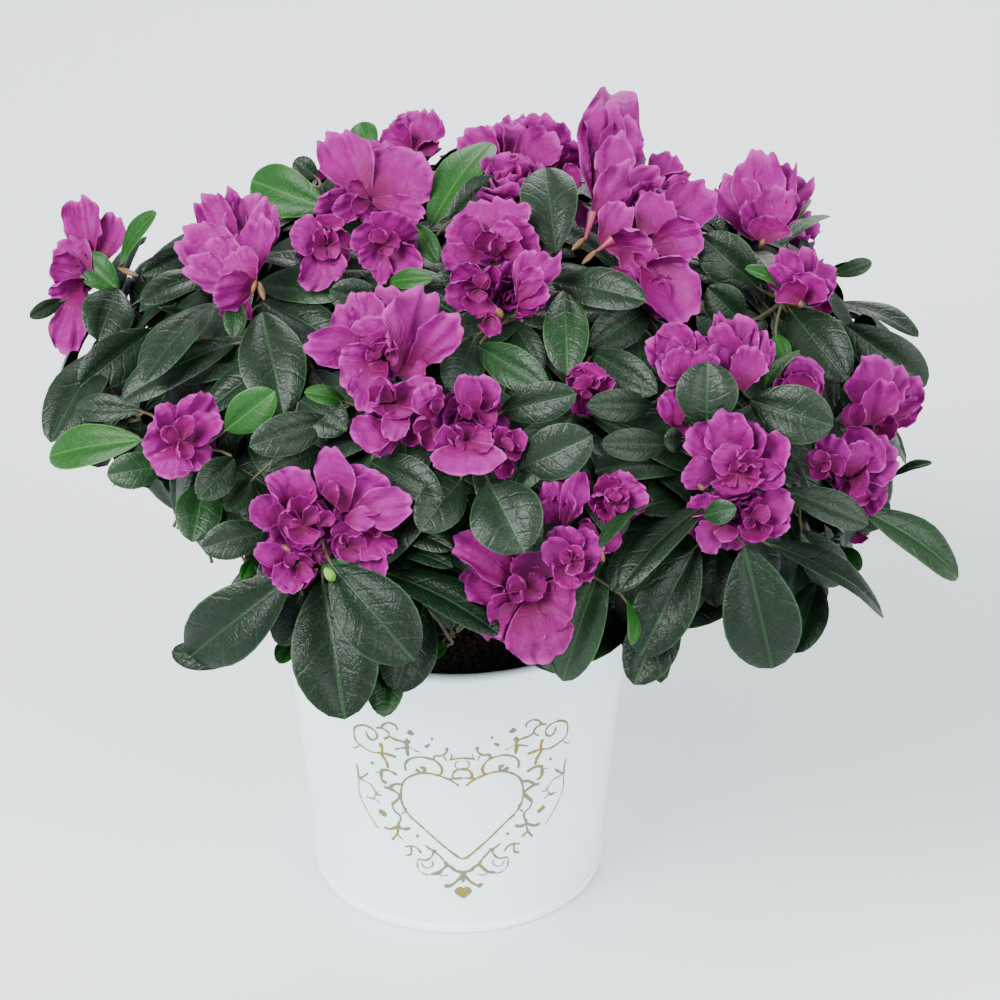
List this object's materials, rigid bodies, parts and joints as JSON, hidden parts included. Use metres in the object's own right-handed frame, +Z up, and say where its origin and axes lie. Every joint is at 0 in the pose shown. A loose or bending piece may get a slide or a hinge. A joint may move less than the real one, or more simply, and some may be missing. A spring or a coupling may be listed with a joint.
{
  "type": "potted azalea shrub",
  "caption": "Florist's azalea: a low dome of dark leaves and ruffled double blooms on a short forked stem, in a round tapered metal pot filled with compost.",
  "frame": {"origin": "middle of the pot's flat underside, on the surface that the pot stands on", "axes": "+Z up, along the pot's axis. -Y is the front, with the ornament and most blooms. +X is the right-hand side as seen from the front, along the crown's widest extent"},
  "size_m": [0.3454, 0.3197, 0.2922],
  "materials": {
    "enamel": "glossy cool white enamel on thin sheet metal, with a worn gold scrollwork heart on the front",
    "compost": "moist dark peat, granular",
    "bark": "rough grey-brown bark",
    "foliage": "dark green satin leaves",
    "petals": "soft magenta-purple ruffled petals"
  },
  "bodies": {
    "root": {"pot": "enamel", "compost": "compost", "trunk": "bark", "bough_low_1": "bark", "bough_low_2": "bark", "bough_low_3": "bark", "bough_low_4": "bark", "bough_low_5": "bark", "bough_low_6": "bark", "bough_low_7": "bark", "bough_high_1": "bark", "bough_high_2": "bark", "bough_high_3": "bark", "foliage_low_1": "foliage", "foliage_low_2": "foliage", "foliage_low_3": "foliage", "foliage_low_4": "foliage", "foliage_low_5": "foliage", "foliage_low_6": "foliage", "foliage_low_7": "foliage", "foliage_high_1": "foliage", "foliage_high_2": "foliage", "foliage_high_3": "foliage"}
  },
  "joints": []
}
